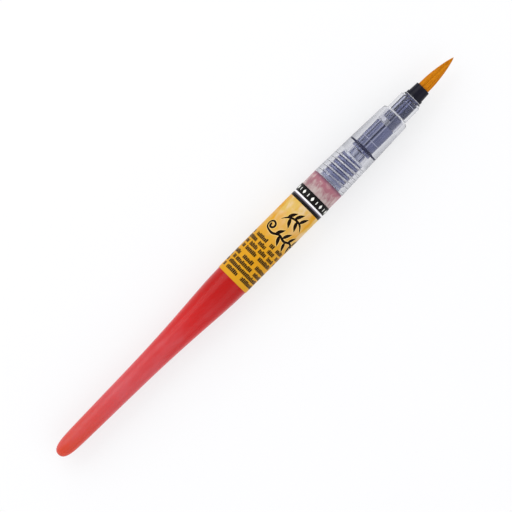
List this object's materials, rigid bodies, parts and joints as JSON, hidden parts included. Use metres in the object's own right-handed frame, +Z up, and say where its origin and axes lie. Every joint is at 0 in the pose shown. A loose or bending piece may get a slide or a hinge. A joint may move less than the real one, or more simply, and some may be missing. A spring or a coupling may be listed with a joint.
{
  "type": "brush pen",
  "caption": "Refillable squeeze-barrel brush pen with a screw-on clear grip head, a feed core and a pointed bristle tuft, without its cap.",
  "frame": {"origin": "midway along the pen, on the surface it lies on, straight under its axis", "axes": "+X along the pen from its tail to the tip of the tuft, +Z up from the surface the pen lies on, +Y completes the right-handed frame"},
  "size_m": [0.175, 0.0118, 0.0118],
  "materials": {
    "natural_plastic": "translucent squeezable plastic, satin outside",
    "label_film": "printed film, amber with a dark band",
    "red_ink": "transparent red ink",
    "slate_plastic": "moulded slate blue plastic, wet with ink",
    "seal_plastic": "soft white sealing washer",
    "clear_plastic": "clear polished plastic",
    "black_rubber": "black rubber",
    "wick_fibre": "bundled fibre, soaked with ink",
    "black_plastic": "black moulded plastic, satin",
    "nylon_bristle": "amber nylon bristles"
  },
  "bodies": {
    "barrel": {"barrel": "natural_plastic", "label": "label_film", "ink_charge": "red_ink", "flow_plug": "natural_plastic"},
    "seal": {"neck_seal": "seal_plastic"},
    "head": {"grip_sleeve": "clear_plastic", "nose_tube": "clear_plastic", "feed_core": "slate_plastic", "flange_oring": "black_rubber", "ink_wick": "wick_fibre", "tuft_collar": "black_plastic", "tuft_root": "nylon_bristle"},
    "tuft": {"bristle_tuft": "nylon_bristle"}
  },
  "joints": [
    {"name": "head_travel", "type": "slide", "parent": "barrel", "child": "seal", "axis": [1, 0, 0], "range_m": [0, 0.01092]},
    {"name": "head_turn", "type": "hinge", "parent": "seal", "child": "head", "pos_m": [0, 0, 0.00592], "axis": [1, 0, 0], "range_deg": [0, 2160]},
    {"name": "tuft_flex", "type": "hinge", "parent": "head", "child": "tuft", "pos_m": [0.0748, 0, 0.00592], "axis": [0, 0, 1], "range_deg": [-35, 35], "stiffness_Nm_per_rad": 0.0015}
  ],
  "couplings": [
    {"joint": "head_turn", "follows": "head_travel", "rad_per_m": 3452.3}
  ]
}
